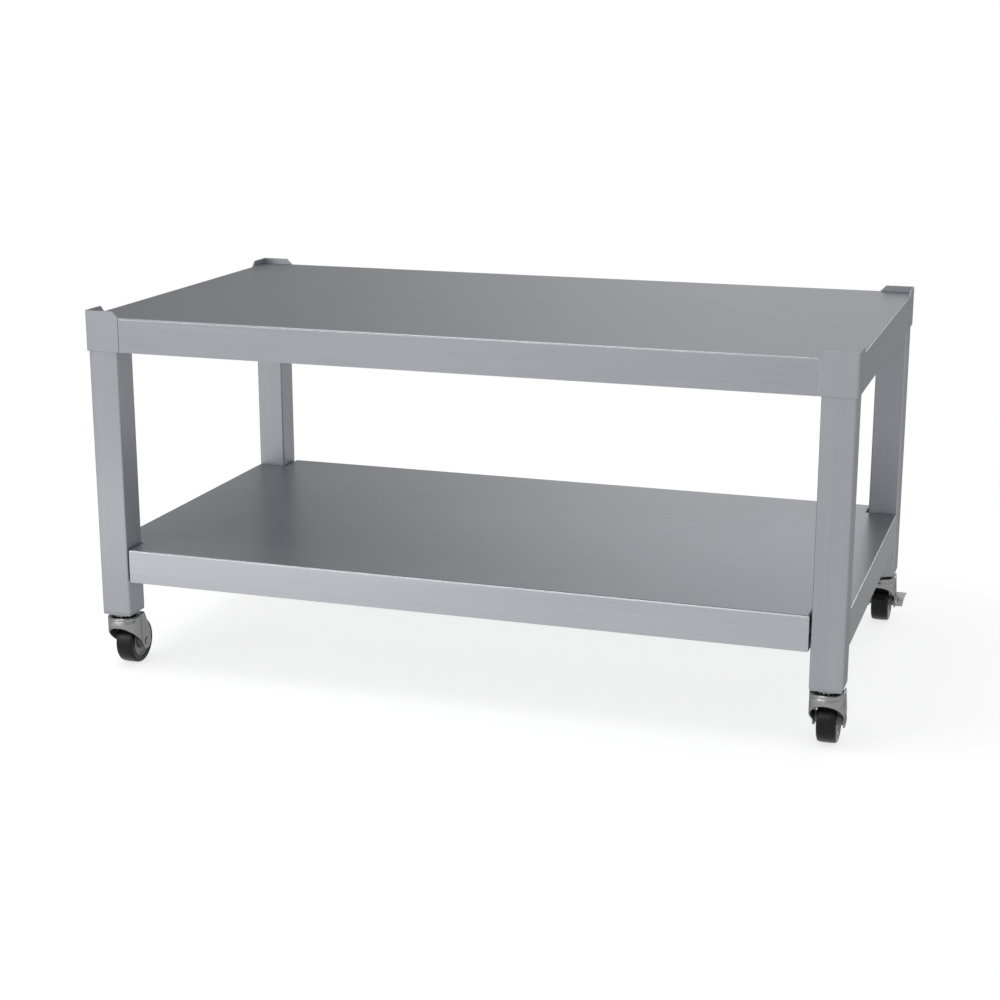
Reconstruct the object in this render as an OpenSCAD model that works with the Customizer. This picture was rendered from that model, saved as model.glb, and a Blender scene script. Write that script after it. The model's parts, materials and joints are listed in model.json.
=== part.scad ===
/* [Stand] */
// Width over the outside faces of the legs
stand_w = 1212; // [900:1:1800]
// Depth over the outside faces of the legs
stand_d = 665; // [500:1:900]
// Height of the top surface above the floor
stand_h = 590; // [480:1:900]
// Height of the lower shelf's surface above the floor
lower_h = 210; // [190:1:300]

/* [Legs] */
// Side of the square leg tube
leg_size = 50; // [44:1:60]
// Wall of the leg tube
leg_wall = 2; // [1.2:0.1:2.5]
// Outside corner radius of the leg tube
leg_radius = 3; // [2.8:0.1:5]
// Height of the bevelled foot that closes the bottom of the tube
foot_h = 5; // [3:0.5:8]
// How far the foot's sides come in at the bottom
foot_bevel = 1.5; // [0.5:0.1:3]
// Length of the threaded plug that stands inside the tube
plug_l = 30; // [26:1:50]

/* [Shelves] */
// Thickness of the shelf sheet
sheet = 2; // [1.2:0.1:2.5]
// Outside radius of the folds in the shelf sheet
bend_radius = 3; // [2.7:0.1:5]
// Depth of the top shelf's folded lip
top_lip = 55; // [45:1:80]
// Depth of the lower shelf's folded lip
lower_lip = 55; // [45:1:75]
// Gap between the lower shelf's notches and the legs
notch_gap = 3; // [2.5:0.1:8]
// Width of the stiffening channel over its flanges
stiffener_w = 60; // [50:1:120]
// Width of the stiffening channel's web
stiffener_web = 36; // [20:1:44]
// Depth of the stiffening channel
stiffener_h = 25; // [15:1:40]
// Thickness of the stiffening channel's sheet
stiffener_sheet = 1.5; // [1:0.1:2]
// Gap between a stiffening channel's end and the shelf's lip
stiffener_gap = 1; // [0.5:0.1:5]

/* [Corner guards] */
// Thickness of the corner guards
guard_sheet = 2.5; // [1.5:0.1:4]
// Length of each guard wing, over its outside corner
guard_wing = 57.5; // [56:0.5:80]
// Outside radius of the guard's corner
guard_radius = 3.5; // [2.5:0.1:6]
// How far the guards rise above the top surface
guard_rise = 10; // [5:1:30]
// Size of the cut-off top corner at the end of each wing
guard_cut = 10; // [4:1:20]
// Gap between a guard wing's end and the top shelf's lip
guard_gap = 0.5; // [0.5:0.1:4]

/* [Fastenings] */
// Thread diameter of the lower shelf's bolts
bolt_d = 8; // [6:1:8]
// Width across the flats of the lower shelf's bolt heads
bolt_flats = 13; // [11:1:14]
// Height of the lower shelf's bolt heads
bolt_head_h = 5; // [3:0.5:7]
// Diameter of the blind nuts' barrel
blind_nut_d = 11; // [10.5:0.1:12]
// Diameter of the blind nuts' flange
blind_flange_d = 16; // [14:0.5:18]
// Thickness of the blind nuts' flange
blind_flange_h = 1; // [0.5:0.1:1.5]
// Diameter of the bulge that grips behind the tube wall
blind_bulge_d = 13; // [12.5:0.1:15]
// Length of the bulge that grips behind the tube wall
blind_bulge_l = 3; // [2:0.5:4]
// Length of the blind nuts behind the tube wall
blind_nut_l = 11; // [9:0.5:12]
// Thickness of the brackets that hold the top shelf
bracket_sheet = 3; // [2:0.1:4]
// Length of both leaves of a bracket
bracket_leaf = 30; // [26:1:40]
// Width of a bracket
bracket_w = 30; // [20:1:40]
// Thread diameter of the studs under the top shelf
stud_d = 6; // [5:1:8]
// Length of the studs under the top shelf
stud_l = 15; // [13:1:25]
// Width across the flats of the stud nuts
stud_flats = 10; // [9:1:13]
// Height of the stud nuts
stud_nut_h = 5; // [4:0.5:6]

/* [Caster wheel] */
// Diameter of the wheel
wheel_d = 75; // [60:1:90]
// Width of the tyre
wheel_w = 30; // [24:1:34]
// Radius of the tyre's shoulders
shoulder = 4; // [2:0.5:8]
// Diameter of the hub under the tyre
hub_d = 50; // [36:1:54]
// Thickness of the hub's rim
hub_rim = 3; // [2:0.5:5]
// How far the hub's rim lies inside the tyre's sides
rim_inset = 0.5; // [0.5:0.1:2]
// How far the hub's disc lies inside the tyre's sides
disc_inset = 2.5; // [1.5:0.1:8]
// Diameter of the hub's boss
boss_d = 19; // [16:0.5:24]
// Gap between the hub's boss and the fork
boss_gap = 0.5; // [0.3:0.1:2]
// Diameter of the axle rivet
axle_d = 8; // [6:0.5:9]
// Diameter of the axle rivet's heads
axle_head_d = 13; // [11:0.5:14]
// Height of the axle rivet's heads
axle_head_h = 1.2; // [0.8:0.1:2]
// Diameter of the sleeve that the hub turns on
sleeve_d = 12; // [11:0.5:14]

/* [Caster fork] */
// How far the axle lies behind the swivel axis
trail = 29; // [24:1:34]
// Clear height between the wheel and the crown
wheel_gap = 12.5; // [10:0.5:20]
// Thickness of the fork's sheet
fork_sheet = 2.5; // [2:0.1:3]
// Thickness of the crown, with its ball track
crown_t = 3; // [2.8:0.1:5]
// Outside diameter of the round crown
crown_d = 54; // [52:1:64]
// Outside width of the fork's legs
fork_w = 48; // [46:1:50]
// Outside radius of the crown's rounded edge
crown_bend = 3.5; // [3.2:0.1:5]
// How far the crown reaches behind the swivel axis
crown_back = 24; // [18:1:24]
// Depth of the fork's front wall under the crown
skirt = 16; // [10:1:22]
// Radius of the fork's legs around the axle
tip_radius = 13; // [10:0.5:16]
// Height of the straight cheek above the axle
cheek_h = 12.5; // [6:0.5:20]
// Slope of the front edge where it meets the rounded tip
tip_angle = 190; // [180:1:210]

/* [Caster swivel] */
// Diameter of the threaded stem
stem_d = 12; // [10:1:14]
// Length of the stem's thread
stem_l = 28; // [20:1:28]
// Diameter of the stem's round collar
collar_d = 39; // [38:1:46]
// Thickness of the stem's round collar
collar_t = 4; // [3.5:0.1:6]
// Gap between the collar and the crown
race_gap = 1.5; // [1:0.1:2]
// Diameter of the kingpin below the collar
kingpin_d = 14; // [12:1:16]
// Diameter of the bearing balls
ball_d = 4.6; // [4:0.1:4.8]
// Number of bearing balls in a swivel
ball_count = 14; // [8:1:16]
// Diameter of the circle that the ball centres lie on
ball_circle_d = 30; // [28:1:33]
// Outside diameter of the thrust washer under the crown
washer_d = 26; // [24:1:32]
// Thickness of the thrust washer under the crown
washer_t = 2; // [1:0.1:3]
// Width across the flats of the kingpin nut
kingpin_flats = 20; // [18:1:22]
// Height of the kingpin nut
kingpin_nut_h = 7; // [4:0.5:8]

/* [Brake levers] */
// Diameter of the lever's ring around the axle
lever_ring_d = 20; // [18:0.5:26]
// Thickness of the lever's ring
lever_ring_t = 3; // [2:0.5:4]
// Thickness of the lever's two leaves
lever_sheet = 2; // [1.5:0.1:3]
// Length of the lever's leaves
lever_leaf = 15; // [13:0.5:18]
// Height of the fold between the leaves above the axle
lever_rise = 2.3; // [0:0.1:4]
// Direction of the upper leaf, from straight back
lever_upper = 105; // [90:1:130]
// Direction of the lower leaf, from straight back
lever_lower = 220; // [200:1:235]
// How far the upper leaf's end stands out from the fork
lever_reach = 20; // [17:0.5:30]
// How far the fold stands out from the fork
lever_fold_reach = 14.5; // [10:0.5:20]
// How far the lower leaf's end stands out from the fork
lever_low_reach = 13; // [10:0.5:20]

/* [Clearances] */
// Radial gap of fixed pins and threads in their holes
fixed_gap = 0.05; // [0.02:0.01:0.1]
// Radial gap of turning pins in their bores
running_gap = 0.08; // [0.05:0.01:0.1]
// Gap between flat faces that turn past each other
face_gap = 0.3; // [0.2:0.05:0.4]
// Gap round the plug inside the leg tube
plug_gap = 0.2; // [0.1:0.05:0.3]

/* [Hidden] */
$fn = 48;

// Heights above the floor, from the wheels up
wheel_r = wheel_d / 2;
crown_top = wheel_d + wheel_gap + crown_t;
collar_z = crown_top + race_gap;
foot_z = collar_z + collar_t;
tube_z = foot_z + foot_h;
tube_top = stand_h - sheet;
top_lip_z = stand_h - top_lip;
lower_lip_z = lower_h - lower_lip;
bolt_z = lower_h - lower_lip / 2;
ball_z = crown_top + race_gap / 2;
crown_under = crown_top - crown_t;

// Distances in plan
leg_x = stand_w / 2 - leg_size / 2;
leg_y = stand_d / 2 - leg_size / 2;
notch = leg_size + notch_gap;
arm_w = stand_w - 2 * notch;
arm_d = stand_d - 2 * notch;
guard_free = guard_wing - guard_sheet + guard_gap;
lip_w = stand_w - 2 * guard_free;
lip_d = stand_d - 2 * guard_free;
tube_inside = leg_size - 2 * leg_wall;
inner_bend = bend_radius - sheet;
stud_x = bracket_sheet + (bracket_leaf - bracket_sheet) / 2;

// The wheels trail to the back, so the stand is moved forward to centre its outline
back_reach = leg_y + trail + wheel_r;
front_reach = stand_d / 2 + guard_sheet;
centre_shift = (back_reach - front_reach) / 2;

// Caster sizes
crown_r = crown_d / 2;
fork_half = fork_w / 2;
fork_inside = fork_w - 2 * fork_sheet;
boss_w = fork_inside - 2 * boss_gap;
axle = [trail, wheel_r];
cheek = axle + [0, cheek_h];
lever_x = fork_half + face_gap;
lever_head_x = lever_x + lever_ring_t + face_gap;
past = 1;
far = 200;

left = -1;
right = 1;
front = -1;
back = 1;

// Point where a line from p touches a circle, seen on the chosen side
function touch_point(p, centre, r, side) =
    let (d = centre - p, turn = atan2(d.y, d.x) + side * asin(r / norm(d)))
    p + sqrt(d * d - r * r) * [cos(turn), sin(turn)];

// Places a piece in the stand's frame
module in_stand() {
    translate([0, -centre_shift, 0]) children();
}

// Places a piece drawn with the stand's outside corner at its origin
module at_corner(side, end) {
    in_stand() mirror([side == left ? 1 : 0, 0, 0]) mirror([0, end == front ? 1 : 0, 0])
        translate([stand_w / 2, stand_d / 2, 0]) children();
}

module at_all_corners() {
    for (side = [left, right], end = [front, back]) at_corner(side, end) children();
}

// Places a piece drawn with its swivel axis at the origin, its wheel trailing back
module at_caster(side, end) {
    in_stand() translate([side * leg_x, end * leg_y, 0]) children();
}

module at_all_casters() {
    for (side = [left, right], end = [front, back]) at_caster(side, end) children();
}

// Turns a piece drawn around Z, with its middle at the origin, onto the axle
module on_axle() {
    translate([0, trail, wheel_r]) rotate([0, 90, 0]) children();
}

// Both bolt places of one leg, Z pointing from the shelf through the tube wall
module at_leg_bolts() {
    for (swap = [0, 1]) mirror([swap, -swap, 0])
        translate([-leg_size, -leg_size / 2, bolt_z]) rotate([0, 90, 0]) children();
}

// Extrudes a section drawn in Y and Z along X
module along_x(length) {
    rotate([90, 0, 90]) linear_extrude(length, center = true) children();
}

// Extrudes a section drawn in X and Z along Y
module along_y(length) {
    rotate([90, 0, 0]) linear_extrude(length, center = true) children();
}

// Square with round corners about its middle
module round_square(size, radius) {
    square([size, size - 2 * radius], center = true);
    square([size - 2 * radius, size], center = true);
    for (x = [-1, 1], y = [-1, 1]) translate([x, y] * (size / 2 - radius)) circle(radius);
}

// Rectangle that hangs from y = 0 and has its top corners rounded
module hanging_section(width, drop, radius) {
    translate([-width / 2, -drop]) square([width, drop - radius]);
    translate([radius - width / 2, -radius]) square([width - 2 * radius, radius]);
    for (side = [-1, 1]) translate([side * (width / 2 - radius), -radius]) circle(radius);
}

// Sheet folded down along both its edges
module folded_section(width, drop) {
    difference() {
        hanging_section(width, drop, bend_radius);
        translate([0, -sheet]) hanging_section(width - 2 * sheet, drop, inner_bend);
    }
}

// Block with its four top edges rounded
module rounded_block(width, depth, drop, radius) {
    intersection() {
        along_x(width) hanging_section(depth, drop, radius);
        along_y(depth) hanging_section(width, drop, radius);
    }
}

// Outline of the lower shelf: two crossing blocks leave a notch at each leg
module notched_block(less, radius) {
    rounded_block(arm_w - 2 * less, stand_d - 2 * less, lower_lip, radius);
    rounded_block(stand_w - 2 * less, arm_d - 2 * less, lower_lip, radius);
}

module stiffener(length) {
    along_x(length) difference() {
        union() {
            translate([-stiffener_w / 2, -stiffener_sheet]) square([stiffener_w, stiffener_sheet]);
            translate([-stiffener_web / 2, -stiffener_h]) square([stiffener_web, stiffener_h]);
        }
        translate([stiffener_sheet - stiffener_web / 2, stiffener_sheet - stiffener_h])
            square([stiffener_web - 2 * stiffener_sheet, stiffener_h]);
    }
}

module top_shelf() {
    color("silver") in_stand() translate([0, 0, stand_h]) {
        along_x(lip_w) folded_section(stand_d + 2 * sheet, top_lip);
        along_y(lip_d) folded_section(stand_w + 2 * sheet, top_lip);
        translate([-stand_w / 2, -stand_d / 2, -sheet]) cube([stand_w, stand_d, sheet]);
    }
}

module top_stiffener() {
    color("darkgray") in_stand() translate([0, 0, tube_top])
        stiffener(stand_w - 2 * stiffener_gap);
}

module lower_shelf() {
    color("silver") difference() {
        in_stand() translate([0, 0, lower_h]) difference() {
            notched_block(0, bend_radius);
            translate([0, 0, -sheet]) notched_block(sheet, inner_bend);
        }
        at_all_corners() at_leg_bolts()
            translate([0, 0, -notch_gap - sheet - past])
            cylinder(h = sheet + 2 * past, d = bolt_d + 2 * fixed_gap);
    }
}

module lower_stiffener() {
    color("darkgray") in_stand() translate([0, 0, lower_h - sheet])
        stiffener(stand_w - 2 * sheet - 2 * stiffener_gap);
}

module leg(side, end) {
    color("lightgray") at_corner(side, end) difference() {
        translate([-leg_size / 2, -leg_size / 2, tube_z]) linear_extrude(tube_top - tube_z)
            difference() {
                round_square(leg_size, leg_radius);
                round_square(tube_inside, leg_radius - leg_wall);
            }
        at_leg_bolts() translate([0, 0, -past])
            cylinder(h = leg_wall + 2 * past, d = blind_nut_d + 2 * fixed_gap);
    }
}

module guard(side, end) {
    plate_h = top_lip + guard_rise;
    color("gainsboro") at_corner(side, end) translate([guard_sheet, guard_sheet, top_lip_z])
        difference() {
            linear_extrude(plate_h) intersection() {
                translate([-guard_wing, -guard_wing]) difference() {
                    round_square(2 * guard_wing, guard_radius);
                    square(2 * (guard_wing - guard_sheet), center = true);
                }
                translate([-guard_wing, -guard_wing]) square(guard_wing);
            }
            for (swap = [0, 1]) mirror([swap, -swap, 0])
                translate([-guard_wing, 0, plate_h]) rotate([0, 45, 0])
                cube([guard_cut * sqrt(2), far, guard_cut * sqrt(2)], center = true);
        }
}

module foot(side, end) {
    color("lightgray") at_corner(side, end)
        translate([-leg_size / 2, -leg_size / 2, foot_z]) difference() {
            union() {
                intersection() {
                    linear_extrude(foot_h) round_square(leg_size, leg_radius);
                    along_x(leg_size) bevelled_section();
                    along_y(leg_size) bevelled_section();
                }
                translate([0, 0, foot_h]) linear_extrude(plug_l)
                    round_square(tube_inside - 2 * plug_gap, leg_radius - leg_wall);
            }
            translate([0, 0, -past]) cylinder(h = far, d = stem_d + 2 * fixed_gap);
        }
}

module bevelled_section() {
    half = leg_size / 2;
    polygon([[foot_bevel - half, 0], [half - foot_bevel, 0], [half, foot_h], [-half, foot_h]]);
}

module stem(side, end) {
    pin_l = crown_t + race_gap + face_gap + washer_t + kingpin_nut_h;
    color("silver") at_caster(side, end) difference() {
        union() {
            translate([0, 0, foot_z]) cylinder(h = stem_l, d = stem_d);
            translate([0, 0, collar_z]) cylinder(h = collar_t, d = collar_d);
            translate([0, 0, collar_z - pin_l]) cylinder(h = pin_l + past, d = kingpin_d);
        }
        ball_track(face_gap);
    }
}

module ball_track(gap) {
    translate([0, 0, ball_z]) rotate_extrude() translate([ball_circle_d / 2, 0])
        circle(ball_d / 2 + gap);
}

module top_brackets() {
    color("gray") at_all_corners() translate([-leg_size, -leg_size / 2, tube_top]) difference() {
        along_y(bracket_w) difference() {
            translate([-bracket_leaf, -bracket_leaf]) square(bracket_leaf);
            translate([-bracket_leaf - past, -bracket_leaf - past])
                square(bracket_leaf - bracket_sheet + past);
        }
        translate([-stud_x, 0, -bracket_sheet - past])
            cylinder(h = bracket_sheet + 2 * past, d = stud_d + 2 * fixed_gap);
    }
}

module top_studs() {
    color("silver") at_all_corners() translate([-leg_size - stud_x, -leg_size / 2, tube_top - stud_l])
        cylinder(h = stud_l, d = stud_d);
}

module top_stud_nuts() {
    color("silver") at_all_corners()
        translate([-leg_size - stud_x, -leg_size / 2, tube_top - bracket_sheet - stud_nut_h])
        nut(stud_flats, stud_nut_h, stud_d);
}

module nut(flats, height, bore) {
    difference() {
        cylinder(h = height, d = flats / cos(30), $fn = 6);
        translate([0, 0, -past]) cylinder(h = height + 2 * past, d = bore + 2 * fixed_gap);
    }
}

module shelf_bolts() {
    shank = notch_gap + sheet + leg_wall + blind_nut_l;
    color("silver") at_all_corners() at_leg_bolts() translate([0, 0, -notch_gap - sheet]) {
        cylinder(h = shank, d = bolt_d);
        translate([0, 0, -bolt_head_h]) cylinder(h = bolt_head_h, d = bolt_flats / cos(30), $fn = 6);
    }
}

module shelf_spacers() {
    color("gray") at_all_corners() at_leg_bolts() translate([0, 0, -notch_gap]) difference() {
        cylinder(h = notch_gap - blind_flange_h, d = blind_flange_d);
        translate([0, 0, -past]) cylinder(h = notch_gap + past, d = bolt_d + 2 * fixed_gap);
    }
}

module blind_nuts() {
    color("goldenrod") at_all_corners() at_leg_bolts() difference() {
        union() {
            translate([0, 0, -blind_flange_h]) cylinder(h = blind_flange_h, d = blind_flange_d);
            cylinder(h = leg_wall + blind_nut_l, d = blind_nut_d);
            translate([0, 0, leg_wall]) cylinder(h = blind_bulge_l, d = blind_bulge_d);
        }
        translate([0, 0, -far / 2]) cylinder(h = far, d = bolt_d + 2 * fixed_gap);
    }
}

module kingpin_nuts() {
    color("silver") at_all_casters()
        translate([0, 0, crown_under - face_gap - washer_t - kingpin_nut_h])
        nut(kingpin_flats, kingpin_nut_h, kingpin_d);
}

module thrust_washers() {
    color("gray") at_all_casters() translate([0, 0, crown_under - face_gap - washer_t])
        difference() {
            cylinder(h = washer_t, d = washer_d);
            translate([0, 0, -past]) cylinder(h = washer_t + 2 * past, d = kingpin_d + 2 * fixed_gap);
        }
}

// Round cup with a rounded top edge
module cup(radius, height, bend) {
    rotate_extrude() {
        square([radius, height - bend]);
        square([radius - bend, height]);
        translate([radius - bend, height - bend]) circle(bend);
    }
}

// Channel that runs back from the swivel axis, open below
module fork_channel(width, height, bend) {
    translate([0, far / 2, height]) along_y(far) hanging_section(width, height, bend);
}

// Side view of the fork: a slanting front edge, a round tip and a leaning back edge
module fork_outline() {
    front_low = axle + tip_radius * [cos(tip_angle), sin(tip_angle)];
    top_back = [crown_back, crown_top];
    translate(axle) circle(tip_radius);
    translate(cheek) circle(tip_radius);
    polygon([[-crown_r, crown_top], [-crown_r, crown_top - skirt], front_low, axle,
        axle + [tip_radius, 0], cheek + [tip_radius, 0],
        touch_point(top_back, cheek, tip_radius, 1), top_back]);
}

module fork(side, end) {
    color("gray") at_caster(side, end) difference() {
        intersection() {
            union() {
                cup(crown_r, crown_top, crown_bend);
                fork_channel(fork_w, crown_top, crown_bend);
            }
            along_x(far) fork_outline();
        }
        cup(crown_r - fork_sheet, crown_under, crown_bend - fork_sheet);
        fork_channel(fork_inside, crown_under, crown_bend - fork_sheet);
        cylinder(h = far, d = kingpin_d + 2 * running_gap);
        ball_track(fixed_gap);
        on_axle() cylinder(h = far, d = axle_d + 2 * fixed_gap, center = true);
    }
}

module balls(side, end) {
    color("white") at_caster(side, end) for (i = [0 : ball_count - 1])
        rotate(i * 360 / ball_count) translate([ball_circle_d / 2, 0, ball_z]) sphere(d = ball_d);
}

// Rivet through the fork; on a braked caster it also carries the lever
module axle_rivet(reach) {
    on_axle() {
        translate([0, 0, -fork_half]) cylinder(h = fork_half + reach, d = axle_d);
        translate([0, 0, -fork_half - axle_head_h]) cylinder(h = axle_head_h, d = axle_head_d);
        translate([0, 0, reach]) cylinder(h = axle_head_h, d = axle_head_d);
    }
}

module plain_axle(side, end) {
    color("silver") at_caster(side, end) axle_rivet(fork_half);
}

module braked_axle(side, end) {
    color("silver") at_caster(side, end) mirror([side == left ? 1 : 0, 0, 0])
        axle_rivet(lever_head_x);
}

module sleeve(side, end) {
    color("silver") at_caster(side, end) on_axle() difference() {
        cylinder(h = fork_inside, d = sleeve_d, center = true);
        cylinder(h = far, d = axle_d + 2 * fixed_gap, center = true);
    }
}

module hub(side, end) {
    color("lightgray") at_caster(side, end) on_axle() difference() {
        union() {
            cylinder(h = boss_w, d = boss_d, center = true);
            cylinder(h = wheel_w - 2 * disc_inset, d = hub_d, center = true);
            difference() {
                cylinder(h = wheel_w - 2 * rim_inset, d = hub_d, center = true);
                cylinder(h = wheel_w, d = hub_d - 2 * hub_rim, center = true);
            }
        }
        cylinder(h = far, d = sleeve_d + 2 * running_gap, center = true);
    }
}

module tyre(side, end) {
    tread = wheel_r - hub_d / 2;
    color("dimgray") at_caster(side, end) on_axle() rotate_extrude()
        translate([hub_d / 2, 0]) {
            translate([0, -wheel_w / 2]) square([tread - shoulder, wheel_w]);
            translate([0, shoulder - wheel_w / 2]) square([tread, wheel_w - 2 * shoulder]);
            for (face = [-1, 1]) translate([tread - shoulder, face * (wheel_w / 2 - shoulder)])
                circle(shoulder);
        }
}

// One leaf of the brake lever, from the fold outwards
module leaf_section(direction) {
    rotate(direction) {
        translate([0, -lever_sheet / 2]) square([lever_leaf - lever_sheet / 2, lever_sheet]);
        for (x = [0, lever_leaf - lever_sheet / 2]) translate([x, 0]) circle(lever_sheet / 2);
    }
}

module brake_lever(side) {
    start = lever_x + lever_ring_t;
    color("whitesmoke") at_caster(side, back) mirror([side == left ? 1 : 0, 0, 0])
        translate([0, trail, wheel_r]) difference() {
            union() {
                translate([lever_x, 0, 0]) rotate([0, 90, 0])
                    cylinder(h = lever_ring_t, d = lever_ring_d);
                intersection() {
                    translate([lever_x + far / 2, 0, lever_rise]) along_x(far) {
                        leaf_section(lever_upper);
                        leaf_section(lever_lower);
                    }
                    translate([fork_half, 0, lever_rise]) along_y(far)
                        polygon([[0, lever_leaf], [lever_reach, lever_leaf], [lever_fold_reach, 0],
                            [lever_low_reach, -lever_leaf], [0, -lever_leaf]]);
                }
            }
            rotate([0, 90, 0]) cylinder(h = start + past, d = axle_d + 2 * running_gap);
            translate([start, 0, 0]) rotate([0, 90, 0])
                cylinder(h = axle_head_h + 2 * face_gap, d = axle_head_d + 2 * face_gap);
        }
}

top_shelf();
top_stiffener();
lower_shelf();
lower_stiffener();
leg(left, front);  // leg_front_left
leg(right, front);  // leg_front_right
leg(left, back);  // leg_back_left
leg(right, back);  // leg_back_right
guard(left, front);  // guard_front_left
guard(right, front);  // guard_front_right
guard(left, back);  // guard_back_left
guard(right, back);  // guard_back_right
foot(left, front);  // foot_front_left
foot(right, front);  // foot_front_right
foot(left, back);  // foot_back_left
foot(right, back);  // foot_back_right
stem(left, front);  // stem_front_left
stem(right, front);  // stem_front_right
stem(left, back);  // stem_back_left
stem(right, back);  // stem_back_right
top_brackets();
top_studs();
top_stud_nuts();
shelf_bolts();
shelf_spacers();
blind_nuts();
kingpin_nuts();
thrust_washers();
fork(left, front);  // fork_front_left
fork(right, front);  // fork_front_right
fork(left, back);  // fork_back_left
fork(right, back);  // fork_back_right
balls(left, front);  // balls_front_left
balls(right, front);  // balls_front_right
balls(left, back);  // balls_back_left
balls(right, back);  // balls_back_right
plain_axle(left, front);  // axle_front_left
plain_axle(right, front);  // axle_front_right
braked_axle(left, back);  // axle_back_left
braked_axle(right, back);  // axle_back_right
sleeve(left, front);  // sleeve_front_left
sleeve(right, front);  // sleeve_front_right
sleeve(left, back);  // sleeve_back_left
sleeve(right, back);  // sleeve_back_right
hub(left, front);  // hub_front_left
hub(right, front);  // hub_front_right
hub(left, back);  // hub_back_left
hub(right, back);  // hub_back_right
tyre(left, front);  // tyre_front_left
tyre(right, front);  // tyre_front_right
tyre(left, back);  // tyre_back_left
tyre(right, back);  // tyre_back_right
brake_lever(left);  // brake_lever_left
brake_lever(right);  // brake_lever_right
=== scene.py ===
import json
from math import cos, pi, radians, sin

import bmesh
import bpy
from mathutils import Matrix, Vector


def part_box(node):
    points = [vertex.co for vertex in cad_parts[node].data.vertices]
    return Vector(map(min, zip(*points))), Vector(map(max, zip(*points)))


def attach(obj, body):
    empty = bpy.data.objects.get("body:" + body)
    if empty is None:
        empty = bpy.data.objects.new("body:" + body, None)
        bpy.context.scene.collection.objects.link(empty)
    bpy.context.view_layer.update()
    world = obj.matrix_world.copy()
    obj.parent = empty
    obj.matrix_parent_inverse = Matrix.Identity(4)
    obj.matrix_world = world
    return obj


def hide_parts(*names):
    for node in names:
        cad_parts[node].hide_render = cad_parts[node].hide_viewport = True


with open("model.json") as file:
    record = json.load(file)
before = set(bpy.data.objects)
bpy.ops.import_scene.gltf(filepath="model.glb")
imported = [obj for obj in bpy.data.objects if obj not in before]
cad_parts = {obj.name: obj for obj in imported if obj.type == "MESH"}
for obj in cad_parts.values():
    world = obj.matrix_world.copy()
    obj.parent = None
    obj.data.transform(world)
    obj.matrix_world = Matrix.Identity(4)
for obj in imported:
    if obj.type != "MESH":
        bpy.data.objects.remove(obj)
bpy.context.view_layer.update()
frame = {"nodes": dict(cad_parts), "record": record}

MM = 0.001
SHARP_ANGLE = radians(38)
CORNERS = ("front_left", "front_right", "back_left", "back_right")
body_of = {node: body for body, nodes in frame["record"]["behaviour"]["bodies"].items() for node in nodes}
slot_of = {part["node"]: part["material_slot"] for part in frame["record"]["subparts"]}


class Value:
    """A number that changes over a surface: sums on it add Math nodes."""

    def __init__(self, paint, socket):
        self.paint = paint
        self.socket = socket

    def maths(self, operation, *values, clamp=False):
        settings = {"operation": operation, "use_clamp": clamp}
        return self.paint.node("ShaderNodeMath", settings, dict(enumerate(values)))

    def __add__(self, other):
        return self.maths("ADD", self, other)

    def __sub__(self, other):
        return self.maths("SUBTRACT", self, other)

    def __rsub__(self, other):
        return self.maths("SUBTRACT", other, self)

    def __mul__(self, other):
        return self.maths("MULTIPLY", self, other)

    __radd__ = __add__
    __rmul__ = __mul__

    def clamped(self):
        """Kept between 0 and 1."""
        return self.maths("ADD", self, 0, clamp=True)

    def or_if(self, other):
        """The larger of the two."""
        return self.maths("MAXIMUM", self, other)

    def swing(self, width):
        """A noise's rise and fall about its middle, 0.5."""
        return (self - 0.5) * width

    def between(self, low, high):
        """0 below low, 1 above high, smooth between them."""
        settings = {"interpolation_type": "SMOOTHSTEP"}
        inputs = {"Value": self, "From Min": low, "From Max": high}
        return self.paint.node("ShaderNodeMapRange", settings, inputs)


class Paint:
    """The node tree of a material or of the world."""

    def __init__(self, tree):
        self.tree = tree

    def node(self, kind, settings=None, inputs=None, output=0):
        made = self.tree.nodes.new(kind)
        for name, value in (settings or {}).items():
            setattr(made, name, value)
        for name, value in (inputs or {}).items():
            self.feed(made.inputs[name], value)
        return Value(self, made.outputs[output])

    def feed(self, socket, value):
        if isinstance(value, Value):
            self.tree.links.new(value.socket, socket)
        else:
            socket.default_value = value

    def kept(self, kind):
        """The node of one kind that is there from the start."""
        return next(n for n in self.tree.nodes if n.type == kind)

    def place(self):
        return self.node("ShaderNodeTexCoord", output="Object")

    def stretched(self, scale):
        """The place on the surface, in metres, with each direction scaled."""
        return self.node("ShaderNodeVectorMath", {"operation": "MULTIPLY"}, {0: self.place(), 1: scale})

    def noise(self, place, scale=1.0, detail=2.0, roughness=0.5):
        inputs = {"Vector": place, "Scale": scale, "Detail": detail, "Roughness": roughness}
        return self.node("ShaderNodeTexNoise", None, inputs)

    def mixed(self, factor, colour_a, colour_b):
        inputs = {0: factor, 6: colour_a, 7: colour_b}
        return self.node("ShaderNodeMix", {"data_type": "RGBA"}, inputs, output=2)

    def bumped(self, height, distance, strength):
        inputs = {"Height": height, "Distance": distance, "Strength": strength}
        return self.node("ShaderNodeBump", None, inputs)


def rgb(colour, times=1.0):
    """A colour with full alpha, lighter or darker by times."""
    return (*(min(1.0, c * times) for c in colour), 1.0)


def new_material(name, make, **plain):
    """A material: make(paint) gives what changes over the surface, the rest are plain settings."""
    material = bpy.data.materials.new(name)
    material.use_nodes = True
    paint = Paint(material.node_tree)
    shader = paint.kept("BSDF_PRINCIPLED")
    for socket, value in {**make(paint), **plain}.items():
        paint.feed(shader.inputs[socket.replace("_", " ")], value)
    return material


DARKER, LIGHTER = 0.9, 1.1


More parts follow.
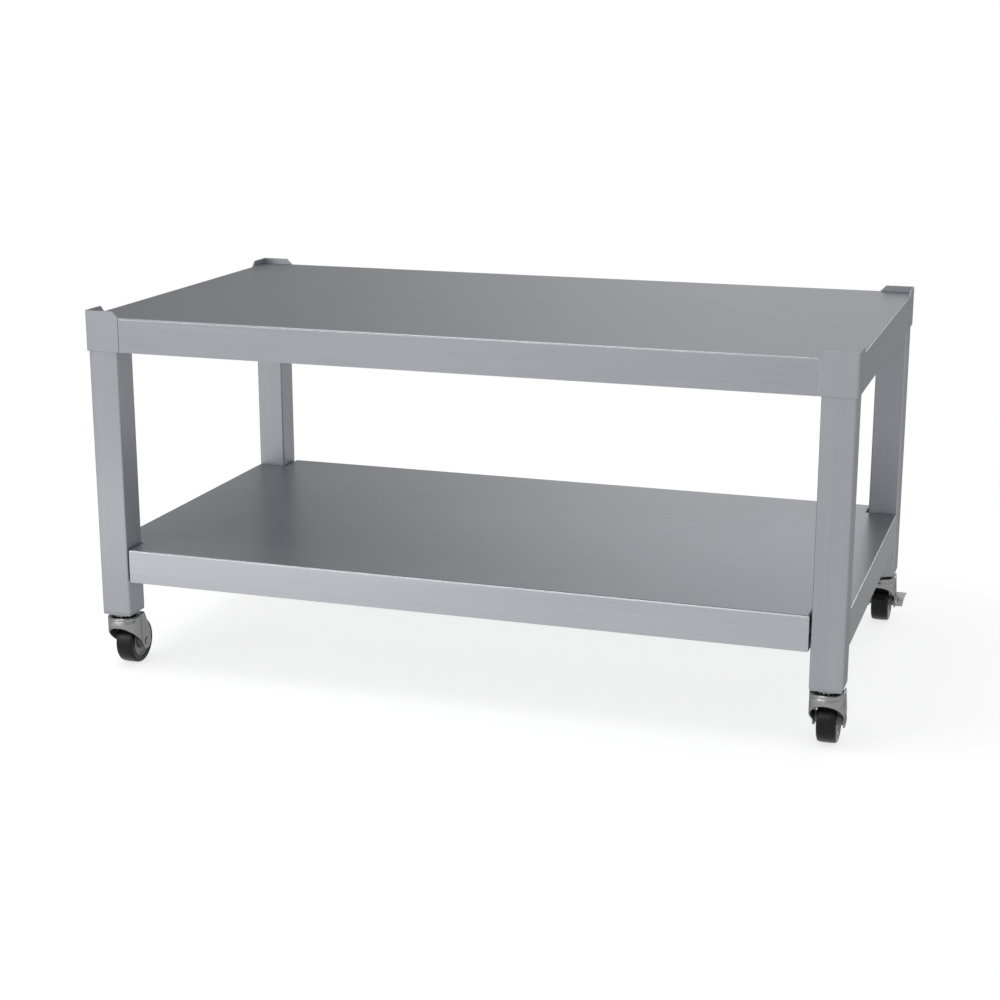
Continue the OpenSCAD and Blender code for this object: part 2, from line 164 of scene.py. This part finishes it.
def brushed(colour, grain, shine=0.36, metallic=0.75, edge=0.25):
    """Satin steel: brush lines and broad bands along one direction, with faint stains, each per metre."""
    line_across, line_along = 900.0, 5.0
    band_across, band_along = 140.0, 2.0
    stains_per_metre = 4.0
    line_depth = 0.04 * MM
    fine = [line_along if axis == grain else line_across for axis in "xyz"]
    broad = [band_along if axis == grain else band_across for axis in "xyz"]

    def make(paint):
        lines = paint.noise(paint.stretched(fine), detail=3.0, roughness=0.7)
        bands = paint.noise(paint.stretched(broad))
        stains = paint.noise(paint.place(), stains_per_metre, detail=3.0)
        tone = (0.5 + lines.swing(0.35) + bands.swing(0.5) + stains.swing(0.25)).clamped()
        return {
            "Base Color": paint.mixed(tone, rgb(colour, DARKER), rgb(colour, LIGHTER)),
            "Roughness": shine + lines.swing(0.16) + stains.swing(0.08),
            "Normal": paint.bumped(lines + bands * 0.6, line_depth, 0.5),
        }

    return dict(make=make, Metallic=metallic, Specular_IOR_Level=0.1, Specular_Tint=rgb((edge, edge, edge)))


def pressed_ridge(paint):
    """Height of the rounded ridge pressed into a fork's front wall, in millimetres."""
    ridge_z, half_width, height = 77 * MM, 8 * MM, 1.5
    z = paint.node("ShaderNodeSeparateXYZ", None, {0: paint.place()}, output="Z")
    from_ridge = (z - ridge_z) * (1 / half_width)
    facing = paint.node("ShaderNodeTexCoord", output="Normal")
    forwards = 0 - paint.node("ShaderNodeSeparateXYZ", None, {0: facing}, output="Y")
    return (1 - from_ridge * from_ridge).or_if(0) * forwards.between(0.1, 0.5) * height


def plated(colour, shine=0.24, metallic=1.0, ridge=lambda paint: 0):
    """Plated metal with soft cloudy patches and small pressing marks, their heights in millimetres."""
    clouds_per_metre, specks_per_metre = 60.0, 900.0
    cloud_height, speck_height = 0.015, 0.0015

    def make(paint):
        clouds = paint.noise(paint.place(), clouds_per_metre, detail=3.0)
        specks = paint.noise(paint.place(), specks_per_metre)
        return {
            "Base Color": paint.mixed(clouds, rgb(colour, DARKER), rgb(colour, LIGHTER)),
            "Roughness": shine + clouds.swing(0.12) + specks.swing(0.06),
            "Normal": paint.bumped(clouds * cloud_height + specks * speck_height + ridge(paint), MM, 1.0),
        }

    return dict(make=make, Metallic=metallic, Specular_IOR_Level=0.1, Specular_Tint=rgb((0.5, 0.5, 0.5)))


def rubber(colour):
    """Moulded rubber: fine grain, a soft sheen, and a little grey dust worn into it."""
    grains_per_metre, dust_per_metre = 1400.0, 90.0
    dust_shade, grain_height = 3.0, 0.05 * MM

    def make(paint):
        grain = paint.noise(paint.place(), grains_per_metre)
        dust = paint.noise(paint.place(), dust_per_metre, detail=4.0, roughness=0.65).between(0.48, 0.72)
        return {
            "Base Color": paint.mixed(dust * 0.3, rgb(colour), rgb(colour, dust_shade)),
            "Roughness": 0.26 + dust * 0.12 + grain.swing(0.06),
            "Normal": paint.bumped(grain + dust * 0.4, grain_height, 0.3),
        }

    return dict(make=make, Specular_IOR_Level=0.2)


def moulded(colour):
    """Grey plastic with a fine moulded grain and broad flow marks."""
    grains_per_metre, flow_per_metre = 1100.0, 50.0
    flow_shade, grain_height = 0.86, 0.05 * MM

    def make(paint):
        grain = paint.noise(paint.place(), grains_per_metre)
        flow = paint.noise(paint.place(), flow_per_metre)
        return {
            "Base Color": paint.mixed(flow, rgb(colour, flow_shade), rgb(colour)),
            "Roughness": 0.42 + grain.swing(0.14),
            "Normal": paint.bumped(grain, grain_height, 0.4),
        }

    return dict(make=make)


STEEL = (0.345, 0.36, 0.383)
TUBE_STEEL = (0.38, 0.395, 0.418)
# Lighter copy of the shelf steel for the lower shelf: painted light, making up for the shade under the top
# shelf
LOWER_STEEL_PAINTED_LIGHT = (0.435, 0.45, 0.473)
FORK_GREY = (0.27, 0.27, 0.27)
finishes = {
    "shelf_sheet": brushed(STEEL, "x", shine=0.32),
    "channel_sheet": brushed((0.38, 0.39, 0.40), "x", shine=0.42),
    "leg_tube": brushed(TUBE_STEEL, "z", metallic=0.55, edge=0.1),
    "guard_sheet": brushed(STEEL, "z"),
    "foot_steel": brushed(TUBE_STEEL, "x", metallic=0.55, edge=0.1),
    "zinc": plated((0.60, 0.61, 0.60)),
    "fork_zinc": plated(FORK_GREY, ridge=pressed_ridge),
    "ball_steel": plated((0.75, 0.75, 0.76), shine=0.1),
    "rivet_steel": plated(FORK_GREY, shine=0.34),
    "lever_steel": plated((0.64, 0.64, 0.64), shine=0.34, metallic=0.65),
    "blind_nut_brass": plated((0.70, 0.58, 0.30), shine=0.3),
    "hub_plastic": moulded((0.33, 0.33, 0.335)),
    "tyre_rubber": rubber((0.008, 0.008, 0.009)),
}
materials = {slot: new_material(slot, **finish) for slot, finish in finishes.items()}
# The lower shelf's sheet: the shelf steel made lighter, painted light for the shade under the top shelf
lower_sheet_painted_light = new_material("lower_shelf_sheet_painted_light", **brushed(LOWER_STEEL_PAINTED_LIGHT, "x", shine=0.3))
# Dark plated steel for the caster collars: painted shade of the shadowed gap between the foot and the
# fork's crown
collar_painted_shade = new_material("collar_painted_shade", **plated((0.22, 0.22, 0.22), shine=0.3))


def new_piece(name, mesh, slot, body, *nodes):
    """Adds a piece that rides on a body and stands for CAD nodes."""
    mesh.materials.append(materials[slot])
    mesh.shade_smooth()
    mesh.set_sharp_from_angle(angle=SHARP_ANGLE)
    piece = bpy.data.objects.new(name, mesh)
    bpy.context.scene.collection.objects.link(piece)
    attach(piece, body)
    if nodes:
        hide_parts(*nodes)
    return piece


def soften_edges(piece, width):
    """Rounds the sharp edges over a small width and keeps the flat faces evenly shaded."""
    bevel = piece.modifiers.new("soft_edges", "BEVEL")
    bevel.width = width
    bevel.segments = 2
    bevel.limit_method = "ANGLE"
    bevel.angle_limit = SHARP_ANGLE
    weighted = piece.modifiers.new("even_shading", "WEIGHTED_NORMAL")
    weighted.keep_sharp = True


def dressed(node, soften=0.4):
    """A copy of a node's solid with whole faces, softened edges and smooth bends."""
    same_place, same_plane = 2e-6, radians(0.4)
    mesh = frame["nodes"][node].data.copy()
    mesh.materials.clear()
    shape = bmesh.new()
    shape.from_mesh(mesh)
    bmesh.ops.remove_doubles(shape, verts=shape.verts, dist=same_place)
    bmesh.ops.dissolve_limit(shape, angle_limit=same_plane, verts=shape.verts, edges=shape.edges)
    for face in shape.faces:
        face.material_index = 0
    shape.to_mesh(mesh)
    shape.free()
    piece = new_piece(f"{node}_skin", mesh, slot_of[node], body_of[node], node)
    soften_edges(piece, soften * MM)


def mesh_of(name, points, faces):
    """A mesh from points and faces, with points at the same place joined."""
    same_place = 1e-7
    mesh = bpy.data.meshes.new(name)
    shape = bmesh.new()
    verts = [shape.verts.new(p) for p in points]
    for face in faces:
        shape.faces.new([verts[i] for i in face])
    bmesh.ops.remove_doubles(shape, verts=shape.verts, dist=same_place)
    bmesh.ops.recalc_face_normals(shape, faces=shape.faces)
    shape.to_mesh(mesh)
    shape.free()
    return mesh


def turned(outline, start, axis, steps):
    """Points and faces of a lathe-made solid: a closed outline of (along, radius) in millimetres,
    turned round an axis that leaves from start."""
    along_axis = axis.normalized()
    first = along_axis.orthogonal().normalized()
    second = along_axis.cross(first)
    points = []
    for i in range(steps):
        angle = 2 * pi * i / steps
        outwards = first * cos(angle) + second * sin(angle)
        points += [start + (along_axis * along + outwards * radius) * MM for along, radius in outline]
    n = len(outline)
    faces = [(i * n + j, i * n + (j + 1) % n, (i + 1) % steps * n + (j + 1) % n, (i + 1) % steps * n + j)
             for i in range(steps) for j in range(n)]
    return points, faces


def joined(name, solids):
    """One mesh of several solids, each given as points and faces."""
    points, faces = [], []
    for solid_points, solid_faces in solids:
        faces += [[i + len(points) for i in face] for face in solid_faces]
        points += solid_points
    return mesh_of(name, points, faces)


def middle_of(node):
    """The middle of a node's box."""
    low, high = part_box(node)
    return (low + high) / 2


def both_sides(outline):
    """The outline with its mirror image added, as one closed loop."""
    return outline + [(-along, radius) for along, radius in reversed(outline) if along]


# Outlines of the wheel from its middle plane outwards: (along the axle, radius) in millimetres
WHEEL_AXIS = Vector((1, 0, 0))
shoulder_along, shoulder_radius, shoulder_round = 11, 33.1, 4
shoulder = []
for degrees in range(0, 91, 15):
    angle = radians(degrees)
    along = shoulder_along + shoulder_round * sin(angle)
    shoulder.append((along, shoulder_radius + shoulder_round * cos(angle)))
crown = [(0, 37.5), (6, 37.42)]
side_wall = [(14.9, 31.6), (14.5, 29.4), (14.9, 28.9), (14.9, 27.9), (14.5, 27.4), (14.3, 26), (14.3, 25)]
rim = [(14.1, 25), (14.5, 24.6), (14.5, 23.2), (14.1, 22.7), (13.0, 22.2), (12.2, 21.6), (11.4, 13.2)]
boss = [(10.8, 12.4), (7.2, 12), (6.8, 11), (7.2, 9.9), (20.5, 9.5), (21, 9), (21, 6.08)]
TYRE = both_sides(crown + shoulder + side_wall)
HUB = both_sides(rim + boss)

for corner in CORNERS:
    for kind, outline in (("tyre", TYRE), ("hub", HUB)):
        node = f"{kind}_{corner}"
        mesh = mesh_of(node, *turned(outline, middle_of(f"tyre_{corner}"), WHEEL_AXIS, steps=120))
        new_piece(f"{node}_ring", mesh, slot_of[node], body_of[node], node)


def rod(start, end, radius):
    """A bar with rounded ends."""
    length = (end - start).length / MM
    tip, rounding = radius * 0.6, radius * 0.4
    first_end = [(0, 0), (0, tip), (rounding, radius)]
    outline = first_end + [(length - rounding, radius), (length, tip), (length, 0)]
    return turned(outline, start, end - start, steps=12)


def weld_bead(start, end, radius):
    """A weld's bead, rippled along its length."""
    length = (end - start).length / MM
    step, valley, crest = 0.45, 0.86, 0.14
    count = round(length / step)
    ripple = [(i * length / count, radius * (valley + crest * (i % 3 == 1))) for i in range(count + 1)]
    return turned([(0, 0)] + ripple + [(length, 0)], start, end - start, steps=10)


def threaded_rod(start, end, radius, pitch):
    """A bar whose thread is one ring, a crest and a root, for each turn."""
    length = (end - start).length / MM
    turns = int(length / pitch)
    depth = 0.55 * pitch
    thread = [(length * i / (2 * turns), radius - (i % 2) * depth) for i in range(2 * turns + 1)]
    return turned([(0, 0)] + thread + [(length, 0)], start, end - start, steps=24)


# Threaded studs under the top sheet, and the weld bead round each bracket, in millimetres
stud_pitch, stud_radius, stud_length, stud_offset = 1.0, 3.0, 15.0, 16.5
bracket_half, bracket_height = 15.0, 30.0
bead_radius, bead_offset, bead_below_top = 1.6, 0.4, 2.0
studs, beads = [], []
for corner in CORNERS:
    low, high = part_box(f"leg_{corner}")
    inwards = 1 if corner.endswith("left") else -1
    inner = high.x if inwards == 1 else low.x
    middle_y = (low.y + high.y) / 2
    stud_top = Vector((inner + inwards * stud_offset * MM, middle_y, high.z))
    stud_end = stud_top - Vector((0, 0, stud_length * MM))
    studs.append(threaded_rod(stud_end, stud_top, stud_radius, stud_pitch))
    bead_x = inner + inwards * bead_offset * MM
    bottom = high.z - bracket_height * MM
    top = high.z - bead_below_top * MM
    near, far = middle_y - bracket_half * MM, middle_y + bracket_half * MM
    for y in (near, far):
        beads.append(weld_bead(Vector((bead_x, y, bottom)), Vector((bead_x, y, top)), bead_radius))
    beads.append(weld_bead(Vector((bead_x, near, bottom)), Vector((bead_x, far, bottom)), bead_radius))
new_piece("threaded_studs", joined("studs", studs), "zinc", "stand", "top_studs")
new_piece("bracket_welds", joined("beads", beads), "shelf_sheet", "stand")


def spot_welds(name, stiffener, flange_sheet=1.5, from_middle=24.0, from_end=40.0, count=12):
    """Ring marks of the spot welds along both flanges of a stiffening channel, in millimetres."""
    low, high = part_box(stiffener)
    mark = [(0, 1.6), (0.25, 2.0), (0.3, 2.6), (0.25, 3.2), (0, 3.6), (-0.4, 3.6), (-0.4, 1.6)]
    down = Vector((0, 0, -1))
    marks = []
    for i in range(count):
        x = low.x + from_end * MM + (high.x - low.x - 2 * from_end * MM) * i / (count - 1)
        for side in (-1, 1):
            place = Vector((x, (low.y + high.y) / 2 + side * from_middle * MM, high.z - flange_sheet * MM))
            marks.append(turned(mark, place, down, steps=20))
    new_piece(name, joined(name, marks), "channel_sheet", "stand")


spot_welds("top_spot_welds", "top_stiffener")
spot_welds("lower_spot_welds", "lower_stiffener")

# Pressed ribs on both leaves of each brake lever, in millimetres
fork_half, leaf_rise, leaf_length, fold_reach = 24.0, 2.3, 15.0, 14.5
rib_radius, rib_height, rib_start, rib_short = 0.6, 0.9, 5.5, 1.5
rib_distances = (5.0, 8.0, 11.0)
upper_leaf = dict(direction=radians(105), tip_reach=20.0, turn=1)
lower_leaf = dict(direction=radians(220), tip_reach=13.0, turn=-1)


def leaf_ribs(axle, outwards, direction, tip_reach, turn):
    """Three bars across one leaf, which leaves the axle in a direction and reaches outwards."""
    along = Vector((0, cos(direction), sin(direction)))
    face = Vector((0, -sin(direction), cos(direction))) * turn
    ribs = []
    for distance in rib_distances:
        reach = fold_reach + (tip_reach - fold_reach) * distance * abs(sin(direction)) / leaf_length
        middle = axle + Vector((0, 0, leaf_rise * MM)) + (along * distance + face * rib_height) * MM
        start, end = (
            middle + Vector((outwards * (fork_half + x) * MM, 0, 0)) for x in (rib_start, reach - rib_short)
        )
        ribs.append(rod(start, end, rib_radius))
    return ribs


for side in ("left", "right"):
    node = f"brake_lever_{side}"
    axle = middle_of(f"tyre_back_{side}")
    outwards = 1 if side == "right" else -1
    ribs = leaf_ribs(axle, outwards, **upper_leaf) + leaf_ribs(axle, outwards, **lower_leaf)
    new_piece(f"{node}_ribs", joined(f"{node}_ribs", ribs), "lever_steel", body_of[node])

# The solids that are carried over with softened edges
for kind in ("leg", "guard", "foot", "stem", "fork", "axle"):
    for corner in CORNERS:
        dressed(f"{kind}_{corner}", soften=0.3 if kind == "axle" else 0.4)
for node in (
    "top_shelf", "lower_shelf", "brake_lever_left", "brake_lever_right", "top_brackets",
    "top_stiffener", "lower_stiffener", "shelf_bolts", "shelf_spacers", "blind_nuts",
    "kingpin_nuts", "top_stud_nuts", "thrust_washers",
):
    dressed(node)

# The lower shelf gets a lighter copy of the shelf steel, painted light for the shade it sits in under the
# top shelf; the caster collars get a dark copy of the plating, painted shade of the gap between foot and
# crown; each solid has its slot's finish
bpy.data.objects["lower_shelf_skin"].data.materials[0] = lower_sheet_painted_light
for corner in CORNERS:
    bpy.data.objects[f"stem_{corner}_skin"].data.materials[0] = collar_painted_shade
for node, part in frame["nodes"].items():
    part.data.materials.clear()
    part.data.materials.append(materials[slot_of[node]])

# Camera at the photograph's viewing angle: metres, and degrees down and to the left
camera_place, looks_down, looks_left = (0.9459, -2.9892, 1.0712), 14.65, 18.15
camera_data = bpy.data.cameras.new("camera")
camera_data.sensor_width = 36.0
camera_data.lens = 68.63
camera = bpy.data.objects.new("camera", camera_data)
camera.location = camera_place
camera.rotation_euler = (radians(90 - looks_down), 0.0, radians(looks_left))
bpy.context.scene.collection.objects.link(camera)
bpy.context.scene.camera = camera


def seen_directly(paint):
    """1 for rays that see the background itself, in a mirror or through glass too."""
    camera_ray, glossy_ray, glass_ray = (
        paint.node("ShaderNodeLightPath", output=f"Is {kind} Ray")
        for kind in ("Camera", "Glossy", "Transmission")
    )
    return camera_ray.or_if(glossy_ray).or_if(glass_ray)


def stage_piece(name, points, faces, shade):
    """Floor or backdrop: shade(paint) gives its shader."""
    mesh = bpy.data.meshes.new(name)
    mesh.from_pydata(points, [], faces)
    material = bpy.data.materials.new(name)
    material.use_nodes = True
    paint = Paint(material.node_tree)
    paint.tree.nodes.remove(paint.kept("BSDF_PRINCIPLED"))
    paint.feed(paint.kept("OUTPUT_MATERIAL").inputs["Surface"], shade(paint))
    mesh.materials.append(material)
    piece = bpy.data.objects.new(name, mesh)
    bpy.context.scene.collection.objects.link(piece)
    return piece


def floor_shade(paint):
    """Matt white that keeps the object's shadow and fades to plain white away from it."""
    white = rgb((1, 1, 1))
    matt_white = rgb((0.9, 0.9, 0.9))
    own_glow, plain_share = 0.5, 0.5
    fade_start, fade_end = 0.9, 1.8
    length = {"operation": "LENGTH"}
    distance = paint.node("ShaderNodeVectorMath", length, {0: paint.place()}, output="Value")
    seen = seen_directly(paint)
    matt = paint.node("ShaderNodeBsdfDiffuse", None, {"Color": matt_white})
    glow = paint.node("ShaderNodeEmission", None, {"Color": white, "Strength": seen * own_glow})
    plain = paint.node("ShaderNodeEmission", None, {"Color": white, "Strength": 1.0})
    lit = paint.node("ShaderNodeAddShader", None, {0: matt, 1: glow})
    fade = seen * (plain_share + distance.between(fade_start, fade_end) * (1 - plain_share))
    return paint.node("ShaderNodeMixShader", None, {0: fade, 1: lit, 2: plain})


def ring_shade(paint):
    """Glow that rises from the left and falls to the right, sooner in front than behind."""
    across = paint.node("ShaderNodeSeparateXYZ", None, {0: paint.place()}, output="X")
    depth = paint.node("ShaderNodeSeparateXYZ", None, {0: paint.place()}, output="Y")
    left_glow, rise, drop, sooner = 0.69, 1.2, 1.1, 2.4
    in_front = 1 - depth.between(-2.0, 2.0)
    fall = (across + in_front * sooner).between(0.2, 2.6)
    glow = left_glow + across.between(-3.5, -0.6) * rise - fall * drop
    return paint.node("ShaderNodeEmission", None, {"Color": glow, "Strength": 1.0})


sky_strength = 0.45
world = bpy.data.worlds.new("studio")
world.use_nodes = True
bpy.context.scene.world = world
sky = Paint(world.node_tree)
backdrop = sky.kept("BACKGROUND")
sky.feed(backdrop.inputs["Color"], rgb((1, 1, 1)))
sky.feed(backdrop.inputs["Strength"], sky_strength + seen_directly(sky) * (1 - sky_strength))

floor_half = 40.0
floor_corners = [(x * floor_half, y * floor_half, 0) for x, y in ((-1, -1), (1, -1), (1, 1), (-1, 1))]
stage_piece("floor", floor_corners, [(0, 1, 2, 3)], floor_shade)
ring_radius, ring_height, ring_steps = 6.0, 7.0, 64
ring_angles = [2 * pi * i / ring_steps for i in range(ring_steps)]
ring_points = [
    (ring_radius * cos(angle), ring_radius * sin(angle), z)
    for z in (0.0, ring_height)
    for angle in ring_angles
]
ring_faces = []
for i in range(ring_steps):
    after = (i + 1) % ring_steps
    ring_faces.append((i, after, after + ring_steps, i + ring_steps))
ring = stage_piece("studio_ring", ring_points, ring_faces, ring_shade)
ring.visible_camera = ring.visible_diffuse = ring.visible_shadow = ring.visible_transmission = False


def soft_light(name, place, target, size, power):
    """A rectangular lamp at a place, turned to a target: metres and watts."""
    lamp_data = bpy.data.lights.new(name, "AREA")
    lamp_data.shape = "RECTANGLE"
    lamp_data.size, lamp_data.size_y = size
    lamp_data.energy = power
    lamp = bpy.data.objects.new(name, lamp_data)
    lamp.location = place
    lamp.rotation_euler = (Vector(target) - Vector(place)).to_track_quat("-Z", "Y").to_euler()
    bpy.context.scene.collection.objects.link(lamp)
    return lamp


soft_light("top_light", (-0.9, -1.0, 3.6), (0, 0, 0.3), (2.4, 1.2), 30)
soft_light("back_light", (1.9, 5.0, 2.0), (0, 0, 0.3), (1.2, 0.6), 26)
soft_light("glint_light", (-2.3, -3.0, 1.1), (0, 0, 0.1), (1.2, 0.8), 11)
low_light = soft_light("low_light", (-0.9, -0.98, 0.05), (-0.6, 0, 0.12), (1.4, 0.25), 0.85)
low_light.visible_camera = False
caster_strip = soft_light("caster_strip", (-0.9, -3.3, 1.3), (0, -0.3, 0.05), (2.8, 0.2), 14)
caster_strip.visible_diffuse = False

bpy.context.scene.view_settings.view_transform = "Standard"
